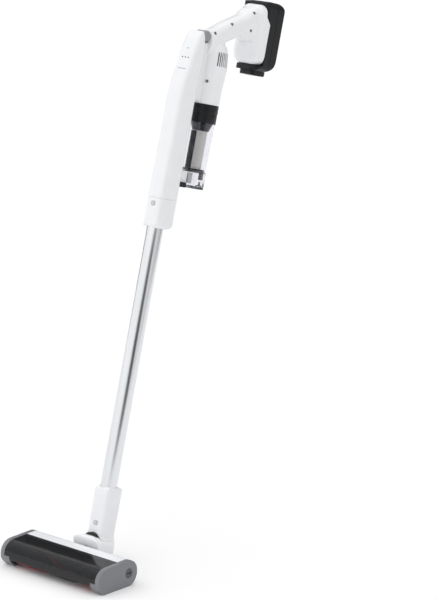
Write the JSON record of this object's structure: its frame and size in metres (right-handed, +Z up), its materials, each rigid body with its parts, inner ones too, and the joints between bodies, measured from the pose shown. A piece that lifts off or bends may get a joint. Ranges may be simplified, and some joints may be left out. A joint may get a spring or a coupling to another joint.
{
  "type": "cordless stick vacuum cleaner",
  "caption": "Cordless stick vacuum: floor head with a driven brush roller, tilting neck, metal tube, and a handset with dust cup, fan motor, grip and slide-off battery.",
  "frame": {"origin": "on the floor, at the middle of the glide strip under the floor head", "axes": "+Z up; +X to the machine's right-hand end cap, the one with the coin lock; +Y from the front bumper towards the person who holds the grip"},
  "size_m": [0.2454, 0.5875, 0.969],
  "materials": {
    "white_abs": "glossy moulded",
    "black_abs": "satin moulded",
    "grey_abs": "satin moulded",
    "button_grey": "satin moulded",
    "smoke": "smoked transparent",
    "clear": "clear",
    "aluminium": "brushed and anodised",
    "steel": "plated",
    "rubber": "matte",
    "red_bristle": "nylon bristle",
    "black_bristle": "nylon bristle",
    "felt": "felt and foam",
    "paper": "pleated paper",
    "bronze": "sintered",
    "board": "coated board",
    "cell_wrap": "shrink wrap"
  },
  "bodies": {
    "head": {"top_cover": "white_abs", "roller_window": "smoke", "front_bumper": "black_abs", "end_cap_left": "grey_abs", "end_cap_right": "grey_abs", "sole_plate": "black_abs", "glide_strip": "felt", "brush_motor": "steel", "drive_belt": "rubber", "suction_duct": "black_abs", "flex_hose": "rubber", "neck_bracket": "black_abs", "roller_bearing_left": "bronze", "roller_bearing_right": "bronze"},
    "roller": {"roller_core": "black_abs", "brush_pulley": "steel", "red_bristle_row_1": "red_bristle", "red_bristle_row_2": "red_bristle", "black_bristle_row_1": "black_bristle", "black_bristle_row_2": "black_bristle"},
    "pulley": {"motor_pulley": "steel"},
    "lock": {"end_cap_lock": "grey_abs"},
    "wheel_left": {"rear_wheel_left": "rubber"},
    "wheel_right": {"rear_wheel_right": "rubber"},
    "neck": {"neck_yoke": "white_abs", "swivel_duct": "black_abs", "tilt_pin_left": "steel", "tilt_pin_right": "steel"},
    "socket": {"neck_socket": "white_abs"},
    "head_button": {"head_release_button": "button_grey"},
    "wand": {"extension_tube": "aluminium", "tube_collar": "white_abs"},
    "tube_button": {"tube_release_button": "button_grey"},
    "handset": {"spine_cover": "white_abs", "light_pipe": "clear", "control_board": "board", "handset_shell_left": "white_abs", "handset_shell_right": "white_abs", "body_screw_1": "steel", "body_screw_2": "steel", "body_screw_3": "steel", "body_screw_4": "steel", "fan_motor": "steel", "exhaust_filter": "felt"},
    "fan": {"impeller": "black_abs"},
    "thumb": {"thumb_button": "button_grey"},
    "cup_button": {"cup_release_button": "black_abs"},
    "cup": {"dust_cup": "clear", "cup_ring": "black_abs", "pre_filter": "felt", "filter_head": "smoke", "filter_core": "paper", "filter_skirt": "smoke", "inlet_port": "white_abs", "hinge_lug": "black_abs"},
    "door": {"cup_door": "black_abs"},
    "latch": {"door_latch": "black_abs"},
    "battery": {"battery_case": "black_abs", "battery_cells": "cell_wrap"},
    "battery_latch": {"pack_latch": "black_abs"}
  },
  "joints": [
    {"name": "roller_spin", "type": "hinge", "parent": "head", "child": "roller", "pos_m": [0, -0.036, 0.0208], "axis": [1, 0, 0], "continuous": true},
    {"name": "motor_pulley_spin", "type": "hinge", "parent": "head", "child": "pulley", "pos_m": [-0.1085, 0.004, 0.024], "axis": [1, 0, 0], "continuous": true},
    {"name": "lock_turn", "type": "hinge", "parent": "head", "child": "lock", "pos_m": [0.118, 0.0105, 0.024], "axis": [1, 0, 0], "range_deg": [0, 90]},
    {"name": "wheel_left_spin", "type": "hinge", "parent": "head", "child": "wheel_left", "pos_m": [-0.042, 0.046, 0.011], "axis": [1, 0, 0], "continuous": true},
    {"name": "wheel_right_spin", "type": "hinge", "parent": "head", "child": "wheel_right", "pos_m": [0.042, 0.046, 0.011], "axis": [1, 0, 0], "continuous": true},
    {"name": "neck_tilt", "type": "hinge", "parent": "head", "child": "neck", "pos_m": [0, 0.0527, 0.0171], "axis": [-1, 0, 0], "range_deg": [-15.3, 54.6], "deforming": ["flex_hose"]},
    {"name": "neck_swivel", "type": "hinge", "parent": "neck", "child": "socket", "pos_m": [0, 0.05905, 0.04025], "axis": [0, 0.9644, -0.2646], "range_deg": [-20, 20]},
    {"name": "head_release_press", "type": "slide", "parent": "socket", "child": "head_button", "axis": [0, 0.9644, -0.2646], "range_m": [0, 0.0012], "stiffness_N_per_m": 600, "springref_m": -0.0005},
    {"name": "wand_pull", "type": "slide", "parent": "socket", "child": "wand", "axis": [0, 0.2646, 0.9644], "range_m": [0, 0.055]},
    {"name": "tube_release_press", "type": "slide", "parent": "wand", "child": "tube_button", "axis": [0, 0.9644, -0.2646], "range_m": [0, 0.0012], "stiffness_N_per_m": 600, "springref_m": -0.0005},
    {"name": "handset_pull", "type": "slide", "parent": "wand", "child": "handset", "axis": [0, 0.2646, 0.9644], "range_m": [0, 0.03]},
    {"name": "fan_spin", "type": "hinge", "parent": "handset", "child": "fan", "pos_m": [0, 0.34679, 0.81678], "axis": [0, 0.2646, 0.9644], "continuous": true},
    {"name": "thumb_press", "type": "slide", "parent": "handset", "child": "thumb", "axis": [0, -0.2646, -0.9644], "range_m": [0, 0.0015], "stiffness_N_per_m": 700, "springref_m": -0.0005},
    {"name": "cup_release_press", "type": "slide", "parent": "handset", "child": "cup_button", "axis": [1, 0, 0], "range_m": [0, 0.0015], "stiffness_N_per_m": 700, "springref_m": -0.0005},
    {"name": "cup_slide", "type": "slide", "parent": "handset", "child": "cup", "axis": [0, -0.2646, -0.9644], "range_m": [0, 0.08]},
    {"name": "cup_door_open", "type": "hinge", "parent": "cup", "child": "door", "pos_m": [0, 0.27467, 0.65749], "axis": [-1, 0, 0], "range_deg": [0, 85]},
    {"name": "door_latch_pull", "type": "hinge", "parent": "cup", "child": "latch", "pos_m": [0, 0.33352, 0.67318], "axis": [1, 0, 0], "range_deg": [0, 10], "stiffness_Nm_per_rad": 0.4, "springref_deg": -2.86},
    {"name": "battery_slide", "type": "slide", "parent": "handset", "child": "battery", "axis": [0, 0.9644, -0.2646], "range_m": [0, 0.06]},
    {"name": "battery_latch_press", "type": "slide", "parent": "battery", "child": "battery_latch", "axis": [0, 0.2646, 0.9644], "range_m": [0, 0.0012], "stiffness_N_per_m": 700, "springref_m": -0.0005}
  ],
  "couplings": [
    {"joint": "motor_pulley_spin", "follows": "roller_spin", "ratio": 2}
  ]
}
